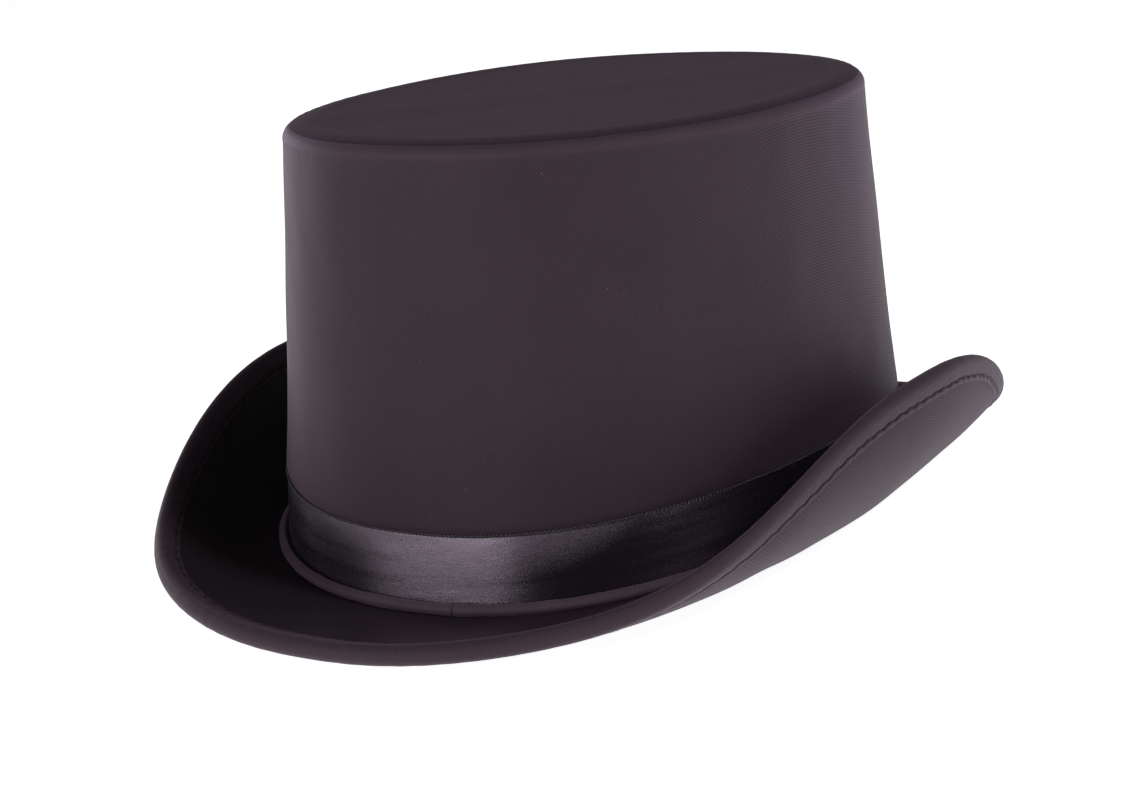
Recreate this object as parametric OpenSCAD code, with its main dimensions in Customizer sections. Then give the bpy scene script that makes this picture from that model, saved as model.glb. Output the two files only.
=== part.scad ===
// A rigid top hat: satin twill over foam and board, with a curled and bound brim,
// a rolled collar at the crown's base, a satin ribbon, a lining and a sweatband.
// +Z is up, -Y is the front and +X is the wearer's left. The hat stands on its brim,
// whose lowest points, at the front and the back of the head opening, are at Z = 0.
// Every ring goes once round the head, and its angle a is 0 at the front and 90 at +X.

/* [Crown] */
// Length of the crown at its base, front to back
crown_l = 211; // [180:1:255]
// Width of the crown at its base
crown_w = 167; // [140:0.5:205]
// Height of the crown above the brim
crown_h = 124; // [90:1:170]
// How far the wall leans in from its base to the tip
crown_taper = 8.5; // [0:0.1:14]
// Exponent of the crown's oval, where 2 is an ellipse
crown_oval = 2.2; // [2:0.01:2.4]
// How much higher the base is at the sides than at the front and back
base_rise = 7; // [0:0.1:10]

/* [Crown edge] */
// Height of the rounded shoulder at the top of the wall
shoulder_h = 5; // [4.5:0.1:8]
// Distance of the tip seam below the top
seam_drop = 1.2; // [0.8:0.1:1.5]
// Distance of the tip seam in from the line of the wall
seam_inset = 1.3; // [0.8:0.1:2]
// Distance over which the tip rounds down to its seam
tip_round = 10; // [6:0.5:14]

/* [Layers] */
// Thickness of the covering cloth
cover_t = 0.5; // [0.4:0.05:0.7]
// Thickness of the foam in the crown
foam_t = 1.8; // [1:0.1:2.3]
// Thickness of the board in the crown
board_t = 1; // [0.8:0.1:1.6]
// Thickness of the brim, covers included
brim_t = 4; // [3.3:0.1:5]
// Thickness of the foam in the brim
brim_foam_t = 1.4; // [0.8:0.1:1.7]
// Diameter of the wires in the brim's edge and round the tip
wire_d = 1.5; // [1:0.1:1.9]

/* [Brim] */
// Reach of the brim's upper face beyond the crown, at the front and back
reach_front = 42.6; // [35:0.1:60]
// Reach of the brim's upper face beyond the crown, at the sides
reach_side = 18.8; // [14:0.1:25]
// Rise of the brim's edge above the crown's base, at the front
lift_front = 5.8; // [2:0.1:14]
// Rise of the brim's edge above the crown's base, at the back
lift_back = 1.2; // [1:0.1:14]
// Rise of the brim's edge above the crown's base, at the sides
lift_side = 43.5; // [30:0.1:55]
// Exponent of the brim's oval, where 2 is an ellipse
brim_oval = 2.33; // [2:0.01:2.5]
// How much squarer the brim's oval is at the sides
brim_square = 0.23; // [0:0.01:0.5]
// How closely the rise is gathered at the sides
side_power = 6.8; // [3:0.1:9]
// Share of the rise that spreads out between the sides and the ends
side_spread = 0.55; // [0:0.05:1]

/* [Binding and collar] */
// Width of the binding on each face of the brim
bind_w = 4.6; // [3.5:0.1:8]
// Thickness of the folded binding cloth
bind_t = 0.45; // [0.3:0.05:0.6]
// Diameter of the rolled collar round the crown's base
roll_d = 2.6; // [2:0.1:3.2]
// Width of the gap in the collar's butt join
roll_join = 0.3; // [0.2:0.1:0.6]

/* [Ribbon] */
// Width of the ribbon
ribbon_w = 18.5; // [12:0.5:40]
// Thickness of the ribbon
ribbon_t = 0.5; // [0.3:0.05:0.8]
// Height of the ribbon's lower edge above the brim
ribbon_low = 2.2; // [1.5:0.1:4]
// Length of the lapped end at the back
lap_l = 16; // [10:1:24]

/* [Inside] */
// Height of the sweatband above the brim
band_h = 32; // [25:1:45]
// Thickness of the sweatband
band_t = 0.8; // [0.5:0.05:1.2]
// Thickness of the lining
lining_t = 0.4; // [0.25:0.05:0.6]
// Width of the tape over the board's join
tape_w = 12; // [8:1:18]
// Thickness of the tapes
tape_t = 0.3; // [0.2:0.05:0.4]
// Width of the size label
label_w = 26; // [18:1:36]
// Height of the size label
label_h = 12; // [8:1:16]

/* [Hidden] */

SATIN = "#3d343e";
BRIM = "#2c252d";
RIBBON = "#4a434c";
LINING = "#201d22";
FOAM = "#d8d4c8";
BOARD = "#b9a88a";
STEEL = "#9a9da1";
THREAD = "#151217";

step = 6;                              // angle between two stations round the hat
ANGLES = [0:step:360 - step];
HALF_ANGLES = [step / 2:step:360 - step / 2];
top_z = brim_t + crown_h;              // height of the tip
wall_t = cover_t + foam_t + board_t;   // thickness of the crown's wall
deck_z = top_z - cover_t - foam_t;     // upper face of the tip board and the wall's board
wire_r = wire_d / 2;
roll_r = roll_d / 2;
clear = 0.05;                          // clearance between pieces that only lie together
lining_gap = tape_t + clear;           // room behind the lining for the seam tape
// The foot of the lining stays above the tape round the head opening.
tape_up = 2;
lining_up = 5.2;
label_up = 12;
label_t = 0.3;
thread_t = 0.35;
sew_l = 4;
sew_up = 2;
bind_sew_l = 3.2;
bind_sew_share = 0.12;                 // place of the stitches across the binding
tack_l = 2.2;
tack_count = 4;
// How the brim's section turns from nearly flat in front to a quarter turn at the sides
blend_power = 7.3;
run_power = 1.9;
climb_power = 1.8;
RUN_SHARES = [0, 0.14, 0.3, 0.48, 0.66, 0.84, 1];
tiny = 0.01;

// ---- Surfaces of the crown ----

function oval(a, rx, ry, n) = [
    rx * sign(sin(a)) * pow(abs(sin(a)), 2 / n),
    -ry * sign(cos(a)) * pow(abs(cos(a)), 2 / n)
];

// A point at height z, at a depth inside the wall's outer face
function wall(a, depth, z) =
    let (inset = depth + crown_taper * (z - brim_t) / crown_h,
         p = oval(a, crown_w / 2 - inset, crown_l / 2 - inset, crown_oval))
    [p[0], p[1], z];

// The same for any angle, on the flat facet between two stations
function facet_wall(a, depth, z) =
    let (a0 = floor(a / step) * step, share = (a - a0) / step)
    (1 - share) * wall(a0, depth, z) + share * wall(a0 + step, depth, z);

// Angle at the back that an arc of the given length takes up
function back_angle(len) = len / (crown_w / 2) * 180 / PI;

// Stations from one angle to another that keep to the facets' own corners
function stations(a0, a1) = concat(
    [a0],
    [for (a = [ceil((a0 + tiny) / step) * step:step:a1 - tiny]) a],
    [a1]);

// Height of the brim's upper face where the crown stands on it
function base_z(a) = brim_t + base_rise * pow(sin(a), 2);

// Share of the shoulder at which the side foam ends under the tip foam
foam_share = (shoulder_h - cover_t - foam_t) / (shoulder_h - seam_drop - cover_t);

// The shoulder from its foot, t = 0, to the tip seam, t = 1
function shoulder(a, t, in = 0) =
    wall(a, seam_inset * t * t + in,
         top_z - shoulder_h + (shoulder_h - seam_drop - in) * t);

// The rounded rim of the tip from its seam, t = 0, to the flat middle, t = 1
function rim(a, t, in = 0) =
    wall(a, seam_inset + (tip_round - seam_inset) * t + in * (1 - t),
         top_z - in - seam_drop * pow(1 - t, 2));
RIM_STEPS = [1, 0.6, 0.25, 0];

// ---- Surfaces of the brim ----

function edge_pt(a) =
    let (p = oval(a, crown_w / 2 + reach_side, crown_l / 2 + reach_front,
                  brim_oval + brim_square * pow(sin(a), 2)),
         side = pow(abs(sin(a)), side_power) + side_spread * pow(sin(a) * cos(a), 2),
         ends = lift_back + (lift_front - lift_back) * (1 + cos(a)) / 2)
    [p[0], p[1], brim_t + ends + (lift_side - ends) * side];
function out_dir(a) =
    let (d = edge_pt(a) - wall(a, 0, base_z(a)))
    [d[0], d[1], 0] / norm([d[0], d[1]]);
function curl(a) = pow(abs(sin(a)), blend_power);
function run(a, u) = (1 - curl(a)) * u + curl(a) * pow(sin(90 * u), run_power);
function climb(a, u) = (1 - curl(a)) * pow(u, climb_power) + curl(a) * (1 - cos(90 * u));

// The upper face from the crown, u = 0, to the edge, u = 1
function brim_top(a, u) =
    let (b = wall(a, 0, base_z(a)), e = edge_pt(a))
    [b[0] + (e[0] - b[0]) * run(a, u),
     b[1] + (e[1] - b[1]) * run(a, u),
     b[2] + (e[2] - b[2]) * climb(a, u)];
function slope_dir(a, u) =
    let (d = brim_top(a, min(u + tiny, 1)) - brim_top(a, u - tiny))
    d / norm(d);
function up_dir(a, u) =
    u == 0 ? [0, 0, 1] :
    let (t = slope_dir(a, u), o = out_dir(a))
    [-t[2] * o[0], -t[2] * o[1], t * o];
function brim_pt(a, u, depth) = brim_top(a, u) - depth * up_dir(a, u);

// Where the binding's inner edge lies, found by halving
function bind_u(a, low = 0.3, high = 1, tries = 14) =
    let (u = (low + high) / 2)
    tries == 0 ? u :
    norm(edge_pt(a) - brim_top(a, u)) > bind_w ?
        bind_u(a, u, high, tries - 1) : bind_u(a, low, u, tries - 1);

// Where the upper face is a given distance out from the wall, found by halving
function wall_dir(a) = (wall(a, -1, 0) - wall(a, 0, 0)) / norm(wall(a, -1, 0) - wall(a, 0, 0));
function reach_u(a, r, low = 0, high = 1, tries = 14) =
    let (u = (low + high) / 2)
    tries == 0 ? u :
    (brim_top(a, u) - wall(a, 0, base_z(a))) * wall_dir(a) < r ?
        reach_u(a, r, u, high, tries - 1) : reach_u(a, r, low, u, tries - 1);

// One face of a brim layer, from the head opening to the edge
function brim_line(a, depth) =
    let (ub = bind_u(a))
    concat(
        [opening(a, wall_t, -depth)],
        [for (s = RUN_SHARES) brim_pt(a, s * ub, depth)],
        [brim_pt(a, 1, depth)]);

// A point in the nose of the binding, at radius r and angle f from straight out
function nose(a, r, f) =
    brim_pt(a, 1, brim_t / 2) + r * (cos(f) * slope_dir(a, 1) + sin(f) * up_dir(a, 1));

// One face of the binding, at a distance out from the brim's faces
function bind_line(a, out) =
    let (ub = bind_u(a))
    concat(
        [brim_pt(a, ub, -out)],
        [for (f = [90:-45:-90]) nose(a, brim_t / 2 + out, f)],
        [brim_pt(a, ub, brim_t + out)]);

// ---- Collar ----

roll_out = ribbon_t + clear + roll_r;  // distance of the roll's middle from the wall
REST_ANGLES = [-75:15:75];
join_angle = 9;                        // where the collar's two ends meet
ROLL_ANGLES = [-112:32:112];

// Height of the roll's middle, which lies on the brim
function roll_z(a) = clear + max([for (f = REST_ANGLES)
    brim_top(a, reach_u(a, roll_out + roll_r * sin(f)))[2] + roll_r * cos(f)]);
function roll_line(a, r) =
    let (z = roll_z(a))
    [for (f = ROLL_ANGLES) wall(a, -roll_out - r * cos(f), z + r * sin(f))];

// ---- Inside ----

// Depth of the lining's outer face, which clears the wire at the top
lining_top_z = deck_z - board_t - wire_d - clear;
function lining_depth(z) =
    let (share = (z - brim_t) / (lining_top_z - brim_t))
    wall_t + lining_gap + (wire_d + clear - lining_gap) * share;
// Depth of the sweatband's outer face at a height above the brim
function band_depth(up) = lining_depth(brim_t + up) + lining_t + clear + base_slack;
base_slack = base_rise * (wire_d - lining_gap) / crown_h;
foot_depth = wall_t + tape_t;
band_foot = 0.5;                       // lower edge of the band above the brim's underside

// A point in the head opening, whose face is upright below the crown
function opening(a, depth, up) =
    let (p = wall(a, depth, base_z(a) + max(up, 0)))
    [p[0], p[1], base_z(a) + up];

function band_line(a, in) = [
    opening(a, foot_depth + in, band_foot - brim_t),
    opening(a, foot_depth + in, 0),
    opening(a, foot_depth + in, tape_up),
    opening(a, band_depth(lining_up) + in, lining_up - clear),
    opening(a, band_depth(band_h) + in, band_h)];

// ---- Solids ----

function flip(list) = [for (i = [len(list) - 1:-1:0]) list[i]];
function outline(outer, inner) = concat(outer, flip(inner));

// A solid through outlines of the same number of points. An open one gets flat ends.
// The two halves of each outline are split along the same diagonals, so that the inner
// and outer faces of a thin layer stay the same distance apart.
module sweep(outlines, closed = true) {
    n = len(outlines);
    m = len(outlines[0]);
    sides = [for (i = [0:closed ? n - 1 : n - 2], j = [0:m - 1])
        let (k = (i + 1) % n, l = (j + 1) % m,
             p = i * m + j, q = i * m + l, r = k * m + l, s = k * m + j)
        each j < m / 2 ? [[p, q, r], [p, r, s]] : [[q, r, s], [q, s, p]]];
    start = [for (j = [0:m / 2 - 2]) [j, m - 1 - j, m - 2 - j, j + 1]];
    end = [for (face = start) [for (v = flip(face)) (n - 1) * m + v]];
    polyhedron(
        points = [for (o = outlines) each o],
        faces = closed ? sides : concat(sides, start, end),
        convexity = 8);
}

// A disc whose lines run from the middle of its top, over its rim, to its underside
module disc(lines) {
    n = len(lines);
    m = len(lines[0]);
    sides = [for (i = [0:n - 1], j = [0:m - 2])
        let (k = (i + 1) % n)
        [i * m + j, k * m + j, k * m + j + 1, i * m + j + 1]];
    top = [for (i = [n - 1:-1:0]) i * m];
    under = [for (i = [0:n - 1]) i * m + m - 1];
    polyhedron(
        points = [for (o = lines) each o],
        faces = concat(sides, [top], [under]),
        convexity = 4);
}

// A layer of the brim between two depths below its upper face
module brim_layer(depth, t) {
    sweep([for (a = ANGLES) outline(brim_line(a, depth + t), brim_line(a, depth))]);
}

// A wire or cord whose middle is at a depth and height on the wall
module wall_wire(depth, z, r) {
    sweep([for (a = ANGLES) [for (f = [0:60:300]) wall(a, depth - r * cos(f), z + r * sin(f))]]);
}

// A short straight thread on a face, from its middle, its run and the face's normal
module stitch(p, along, out, len) {
    x = along / norm(along);
    y = cross(out, x) / norm(cross(out, x));
    z = cross(x, y);
    multmatrix([
        [x[0], y[0], z[0], p[0]],
        [x[1], y[1], z[1], p[1]],
        [x[2], y[2], z[2], p[2]],
        [0, 0, 0, 1]])
        translate([-len / 2, -thread_t / 2, 0])
            cube([len, thread_t, thread_t]);
}

// ---- Crown ----

module crown_side_cover() {
    color(SATIN)
        sweep([for (a = ANGLES) outline(
            concat([wall(a, 0, base_z(a))],
                   [for (t = [0, foam_share / 2, foam_share, 1]) shoulder(a, t)]),
            concat([wall(a, cover_t, base_z(a))],
                   [for (t = [0, foam_share / 2, foam_share, 1]) shoulder(a, t, cover_t)]))]);
}

module crown_side_foam() {
    color(FOAM)
        sweep([for (a = ANGLES) concat(
            [wall(a, cover_t, base_z(a))],
            [for (t = [0, foam_share / 2, foam_share]) shoulder(a, t, cover_t)],
            [wall(a, cover_t + foam_t, deck_z), wall(a, cover_t + foam_t, base_z(a))])]);
}

module crown_side_board() {
    color(BOARD)
        sweep([for (a = ANGLES) [
            wall(a, cover_t + foam_t, base_z(a)),
            wall(a, cover_t + foam_t, deck_z),
            wall(a, wall_t, deck_z),
            wall(a, wall_t, base_z(a))]]);
}

// The tape runs up the inside of the board at the back, above the lining's foot.
module crown_seam_tape() {
    half = back_angle(tape_w) / 2;
    low = base_z(180) + lining_up;
    high = deck_z - board_t - wire_d - clear;
    color(LINING)
        sweep([for (a = stations(180 - half, 180 + half)) [
            facet_wall(a, wall_t, low),
            facet_wall(a, wall_t, high),
            facet_wall(a, wall_t + tape_t, high),
            facet_wall(a, wall_t + tape_t, low)]], closed = false);
}

module tip_cover() {
    color(SATIN)
        disc([for (a = ANGLES) concat(
            [for (t = RIM_STEPS) rim(a, t)],
            [for (t = flip(RIM_STEPS)) rim(a, t, cover_t)])]);
}

module tip_foam() {
    color(FOAM)
        disc([for (a = ANGLES) concat(
            [for (t = RIM_STEPS) rim(a, t, cover_t)],
            [shoulder(a, foam_share, cover_t)])]);
}

module tip_board() {
    color(BOARD)
        disc([for (a = ANGLES) [wall(a, wall_t, deck_z), wall(a, wall_t, deck_z - board_t)]]);
}

module tip_wire() {
    color(STEEL)
        wall_wire(wall_t + wire_r, deck_z - board_t - wire_r, wire_r);
}

// ---- Lining and sweatband ----

module lining_side() {
    color(LINING)
        sweep([for (a = ANGLES)
            let (low = base_z(a) + lining_up)
            [wall(a, lining_depth(low), low),
             wall(a, lining_depth(lining_top_z), lining_top_z),
             wall(a, lining_depth(lining_top_z) + lining_t, lining_top_z),
             wall(a, lining_depth(low) + lining_t, low)]]);
}

module lining_tip() {
    low = lining_top_z - lining_t;
    color(LINING)
        disc([for (a = ANGLES) [
            wall(a, lining_depth(lining_top_z) + lining_t, lining_top_z),
            wall(a, lining_depth(low) + lining_t, low)]]);
}

module sweatband() {
    color(THREAD)
        sweep([for (a = ANGLES) outline(band_line(a, 0), band_line(a, band_t))]);
}

// One stitch on each facet of the sweatband's foot
module sweatband_stitches() {
    color(THREAD)
        for (a = HALF_ANGLES) {
            p0 = opening(a - step / 2, foot_depth + band_t, sew_up - brim_t);
            p1 = opening(a + step / 2, foot_depth + band_t, sew_up - brim_t);
            stitch((p0 + p1) / 2, p1 - p0, [-p0[0], -p0[1], 0], sew_l);
        }
}

// A blank label on the inner face of the sweatband, at the back
module size_label() {
    half = back_angle(label_w) / 2;
    z = base_z(180);
    low = label_up;
    high = label_up + label_h;
    color("#6d6870")
        sweep([for (a = stations(180 - half, 180 + half)) [
            facet_wall(a, band_depth(low) + band_t, z + low),
            facet_wall(a, band_depth(high) + band_t, z + high),
            facet_wall(a, band_depth(high) + band_t + label_t, z + high),
            facet_wall(a, band_depth(low) + band_t + label_t, z + low)]], closed = false);
}

// The tape covers the raw edges where the crown and the brim meet.
module opening_tape() {
    color(LINING)
        sweep([for (a = ANGLES) outline(
            [for (up = [band_foot - brim_t, 0, tape_up]) opening(a, wall_t, up)],
            [for (up = [band_foot - brim_t, 0, tape_up]) opening(a, foot_depth, up)])]);
}

// ---- Brim ----

brim_board_t = brim_t - 2 * cover_t - brim_foam_t;

module brim_top_cover() {
    color(BRIM)
        brim_layer(0, cover_t);
}

module brim_foam() {
    color(FOAM)
        brim_layer(cover_t, brim_foam_t);
}

module brim_board() {
    color(BOARD)
        brim_layer(cover_t + brim_foam_t, brim_board_t);
}

module brim_under_cover() {
    color(SATIN)
        brim_layer(brim_t - cover_t, cover_t);
}

// The wire lies in the nose of the binding, against the brim's cut edge.
module brim_edge_wire() {
    color(STEEL)
        sweep([for (a = ANGLES)
            let (c = nose(a, wire_r + clear, 0))
            [for (f = [0:60:300]) c + wire_r * (cos(f) * slope_dir(a, 1) + sin(f) * up_dir(a, 1))]]);
}

module brim_binding() {
    color(SATIN)
        sweep([for (a = ANGLES) outline(bind_line(a, 0), bind_line(a, bind_t))]);
}

// One stitch on each facet of the binding's upper face, near its inner edge
function bind_face(a, share) =
    (1 - share) * brim_pt(a, bind_u(a), -bind_t) + share * brim_pt(a, 1, -bind_t);

module binding_stitches() {
    color(THREAD)
        for (a = HALF_ANGLES) {
            p0 = bind_face(a - step / 2, bind_sew_share);
            p1 = bind_face(a + step / 2, bind_sew_share);
            across = bind_face(a - step / 2, 1) - p0;
            stitch((p0 + p1) / 2, p1 - p0, cross(across, p1 - p0), bind_sew_l);
        }
}

// ---- Collar and ribbon ----

// The collar's cloth is folded round its cord, open towards the wall.
module base_welt() {
    half = back_angle(roll_join) / 2;
    color(SATIN)
        sweep([for (a = stations(join_angle + half, join_angle + 360 - half))
            outline(roll_line(a, roll_r), roll_line(a, roll_r - cover_t))], closed = false);
}

module base_welt_cord() {
    color(BOARD)
        sweep([for (a = ANGLES) roll_line(a, roll_r - cover_t)]);
}

function ribbon_line(a, out) = [
    wall(a, -out, base_z(a) + ribbon_low),
    wall(a, -out, base_z(a) + ribbon_low + ribbon_w)];

module ribbon_band() {
    color(RIBBON)
        sweep([for (a = ANGLES) outline(ribbon_line(a, ribbon_t), ribbon_line(a, 0))]);
}

// The end of the ribbon is folded under and lapped over its start at the back.
module ribbon_lap() {
    half = back_angle(lap_l) / 2;
    low = base_z(180) + roll_z(180) - brim_t + roll_r + clear;
    high = base_z(180) + ribbon_low + ribbon_w - clear;
    color(RIBBON)
        sweep([for (a = stations(180 - half, 180 + half)) [
            facet_wall(a, -2 * ribbon_t, low),
            facet_wall(a, -2 * ribbon_t, high),
            facet_wall(a, -ribbon_t, high),
            facet_wall(a, -ribbon_t, low)]], closed = false);
}

// Small stitches up the free edge of the lapped end
module ribbon_tacks() {
    a = 180 - back_angle(lap_l) / 2 + back_angle(thread_t);
    low = base_z(180) + roll_z(180) - brim_t + roll_r + tack_l;
    high = base_z(180) + ribbon_low + ribbon_w - tack_l;
    color(THREAD)
        for (i = [0:tack_count - 1]) {
            z = low + (high - low) * i / (tack_count - 1);
            p = facet_wall(a, -2 * ribbon_t, z);
            up = facet_wall(a, -2 * ribbon_t, z + 1) - p;
            along = facet_wall(a + 1, -2 * ribbon_t, z) - p;
            stitch(p, up, cross(along, up), tack_l);
        }
}

crown_side_cover();
crown_side_foam();
crown_side_board();
crown_seam_tape();
tip_cover();
tip_foam();
tip_board();
tip_wire();
lining_side();
lining_tip();
sweatband();
sweatband_stitches();
size_label();
opening_tape();
brim_top_cover();
brim_foam();
brim_board();
brim_under_cover();
brim_edge_wire();
brim_binding();
binding_stitches();
base_welt();
base_welt_cord();
ribbon_band();
ribbon_lap();
ribbon_tacks();
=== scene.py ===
"""Looks of the top hat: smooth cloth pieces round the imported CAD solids.

Lengths are millimetres until a mesh is made. An angle a goes round the head, in degrees,
0 at the front (-Y) and 90 at the wearer's left (+X).
"""
import math

import bpy
import numpy as np
from mathutils import Matrix, Vector


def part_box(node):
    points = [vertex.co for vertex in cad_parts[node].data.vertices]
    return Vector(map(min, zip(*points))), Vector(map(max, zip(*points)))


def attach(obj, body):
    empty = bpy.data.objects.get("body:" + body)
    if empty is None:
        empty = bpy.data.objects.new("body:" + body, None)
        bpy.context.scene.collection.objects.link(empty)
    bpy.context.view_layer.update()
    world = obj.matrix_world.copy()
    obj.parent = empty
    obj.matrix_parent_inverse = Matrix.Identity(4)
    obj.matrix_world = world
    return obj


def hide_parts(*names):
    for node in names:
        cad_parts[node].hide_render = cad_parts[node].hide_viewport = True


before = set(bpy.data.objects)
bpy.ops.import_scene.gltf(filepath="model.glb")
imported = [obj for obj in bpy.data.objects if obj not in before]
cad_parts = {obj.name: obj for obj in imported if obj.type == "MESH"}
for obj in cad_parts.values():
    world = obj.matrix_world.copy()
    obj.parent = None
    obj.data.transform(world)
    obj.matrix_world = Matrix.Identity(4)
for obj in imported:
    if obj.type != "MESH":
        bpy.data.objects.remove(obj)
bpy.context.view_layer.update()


def box_mm(node):
    low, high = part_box(node)
    return np.array(low) * 1000, np.array(high) * 1000


# ---- Sizes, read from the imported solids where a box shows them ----

side_low, side_high = box_mm("crown_side_cover")
tip_top = box_mm("tip_cover")[1][2]
ribbon_low, ribbon_high = box_mm("ribbon_band")

BRIM_T = side_low[2]
TOP_Z = tip_top
CROWN_H = TOP_Z - BRIM_T
HALF_L = side_high[1]
TAPER = 8.5
CROWN_OVAL = 2.2
RIBBON_W = 18.5
RIBBON_T = 0.5
BASE_RISE = ribbon_high[2] - ribbon_low[2] - RIBBON_W
RIBBON_LOW = ribbon_low[2] - BRIM_T
HALF_W = side_high[0] + TAPER * BASE_RISE / CROWN_H
SHOULDER_H, SEAM_DROP, SEAM_INSET, TIP_ROUND = 5.0, 1.2, 1.3, 10.0
COVER_T, FOAM_T, BOARD_T, BRIM_FOAM_T, WIRE_R = 0.5, 1.8, 1.0, 1.4, 0.75
REACH_ENDS, REACH_SIDE = 42.6, 18.8
LIFT_FRONT, LIFT_BACK, LIFT_SIDE = 5.8, 1.2, 43.5
BRIM_OVAL, BRIM_SQUARE, SIDE_POWER, SIDE_SPREAD = 2.33, 0.23, 6.8, 0.55
BLEND_POWER, RUN_POWER, CLIMB_POWER = 7.3, 1.9, 1.8
BIND_W, BIND_T = 4.6, 0.45
ROLL_R, COLLAR_R, CORD_R, JOIN_ANGLE = 1.3, 1.5, 0.9, 9.0
BAND_H, BAND_T, LINING_T, TAPE_T, TAPE_W = 32.0, 0.8, 0.4, 0.3, 12.0
LABEL_W, LABEL_H, LABEL_UP, LAP_L = 26.0, 12.0, 12.0, 16.0
CLEAR = 0.05
WALL_T = COVER_T + FOAM_T + BOARD_T
DECK_Z = TOP_Z - COVER_T - FOAM_T
LINING_GAP = TAPE_T + CLEAR
LINING_UP, TAPE_UP, FOOT = 5.2, 2.0, 0.5


# ---- The hat's surfaces ----

def power(v, p):
    return np.sign(v) * np.abs(v) ** p


def sin(a):
    return np.sin(np.radians(a))


def cos(a):
    return np.cos(np.radians(a))


def level(value):
    """A single height or depth, shaped as one line of points."""
    return np.full((1, 1), float(value))


def points(x, y, z):
    return np.stack(np.broadcast_arrays(x, y, z), -1)


def unit(v):
    return v / np.maximum(np.linalg.norm(v, axis=-1, keepdims=True), 1e-12)


def oval(a, rx, ry, n):
    return rx * power(sin(a), 2 / n), -ry * power(cos(a), 2 / n)


def wall(a, depth, z):
    inset = depth + TAPER * (z - BRIM_T) / CROWN_H
    x, y = oval(a, HALF_W - inset, HALF_L - inset, CROWN_OVAL)
    return points(x, y, z)


def base_z(a):
    return BRIM_T + BASE_RISE * sin(a) ** 2


def shoulder(a, t, inward=0.0):
    return wall(a, SEAM_INSET * t * t + inward,
                TOP_Z - SHOULDER_H + (SHOULDER_H - SEAM_DROP - inward) * t)


def rim(a, t, inward=0.0, up=0.0):
    return wall(a, SEAM_INSET + (TIP_ROUND - SEAM_INSET) * t + inward * (1 - t),
                TOP_Z - inward - SEAM_DROP * (1 - t) ** 2 + up)


def edge_pt(a):
    x, y = oval(a, HALF_W + REACH_SIDE, HALF_L + REACH_ENDS,
                BRIM_OVAL + BRIM_SQUARE * sin(a) ** 2)
    side = np.abs(sin(a)) ** SIDE_POWER + SIDE_SPREAD * (sin(a) * cos(a)) ** 2
    ends = LIFT_BACK + (LIFT_FRONT - LIFT_BACK) * (1 + cos(a)) / 2
    return points(x, y, BRIM_T + ends + (LIFT_SIDE - ends) * side)


def brim_top(a, u):
    a, u = np.broadcast_arrays(a, u)
    b, e = wall(a, 0, base_z(a)), edge_pt(a)
    curl = np.abs(sin(a)) ** BLEND_POWER
    run = (1 - curl) * u + curl * np.abs(sin(90 * u)) ** RUN_POWER
    climb = (1 - curl) * np.abs(u) ** CLIMB_POWER + curl * (1 - cos(90 * u))
    return b + (e - b) * points(run, run, climb)


def out_dir(a):
    return unit((edge_pt(a) - wall(a, 0, base_z(a))) * np.array([1, 1, 0]))


def slope_dir(a, u):
    a, u = np.broadcast_arrays(a, u)
    return unit(brim_top(a, np.minimum(u + 0.01, 1)) - brim_top(a, np.maximum(u - 0.01, 0)))


def up_dir(a, u):
    a, u = np.broadcast_arrays(a, u)
    t, o = slope_dir(a, u), out_dir(a)
    n = np.stack([-t[..., 2] * o[..., 0], -t[..., 2] * o[..., 1], (t * o).sum(-1)], -1)
    ease = np.clip(u / 0.02, 0, 1)[..., None]
    return unit(n * ease + np.array([0, 0, 1.0]) * (1 - ease))


def brim_pt(a, u, depth):
    a, u, depth = np.broadcast_arrays(a, u, depth)
    return brim_top(a, u) - depth[..., None] * up_dir(a, u)


def halve(low, high, too_low, tries=16):
    """The value between low and high at which too_low turns false."""
    for _ in range(tries):
        mid = (low + high) / 2
        short = too_low(mid)
        low, high = np.where(short, mid, low), np.where(short, high, mid)
    return (low + high) / 2


def bind_u(a, width=BIND_W):
    return halve(0.3 + 0 * a, 1 + 0 * a, lambda u: np.linalg.norm(
        edge_pt(a) - brim_top(a, u), axis=-1) > width)


def nose(a, r, f):
    a, r, f = np.broadcast_arrays(a, r, f)
    one = np.ones_like(a)
    return brim_pt(a, one, BRIM_T / 2 * one) + r[..., None] * (
        cos(f)[..., None] * slope_dir(a, one) + sin(f)[..., None] * up_dir(a, one))


def roll_place(a, r=ROLL_R, away=RIBBON_T + CLEAR):
    """Distance from the wall and height of the collar's middle."""
    out = away + r
    normal = unit(wall(a, -1, 0) - wall(a, 0, 0))

    def height(f):
        reach = out + r * sin(f)
        u = halve(0 * a, 1 + 0 * a, lambda v: (
            (brim_top(a, v) - wall(a, 0, base_z(a))) * normal).sum(-1) < reach)
        return brim_top(a, u)[..., 2] + r * cos(f)

    return out, CLEAR + np.max([height(f) for f in range(-75, 76, 15)], axis=0)


LINING_TOP = DECK_Z - BOARD_T - 2 * WIRE_R - CLEAR


def lining_depth(z):
    share = (z - BRIM_T) / (LINING_TOP - BRIM_T)
    return WALL_T + LINING_GAP + (2 * WIRE_R + CLEAR - LINING_GAP) * share


def band_depth(up):
    return (lining_depth(BRIM_T + up) + LINING_T + CLEAR
            + BASE_RISE * (2 * WIRE_R - LINING_GAP) / CROWN_H)


def half_angle(width):
    """Half of the angle that a width takes at the back of the crown."""
    return width / 2 / HALF_W * 180 / math.pi


def opening(a, depth, up):
    p = wall(a, depth, base_z(a) + np.maximum(up, 0))
    p[..., 2] = base_z(a) + up
    return p


# ---- Meshes ----

WAVE_SPAN = 130.0     # height over which the waves' rise is counted, about the hat's own


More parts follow.
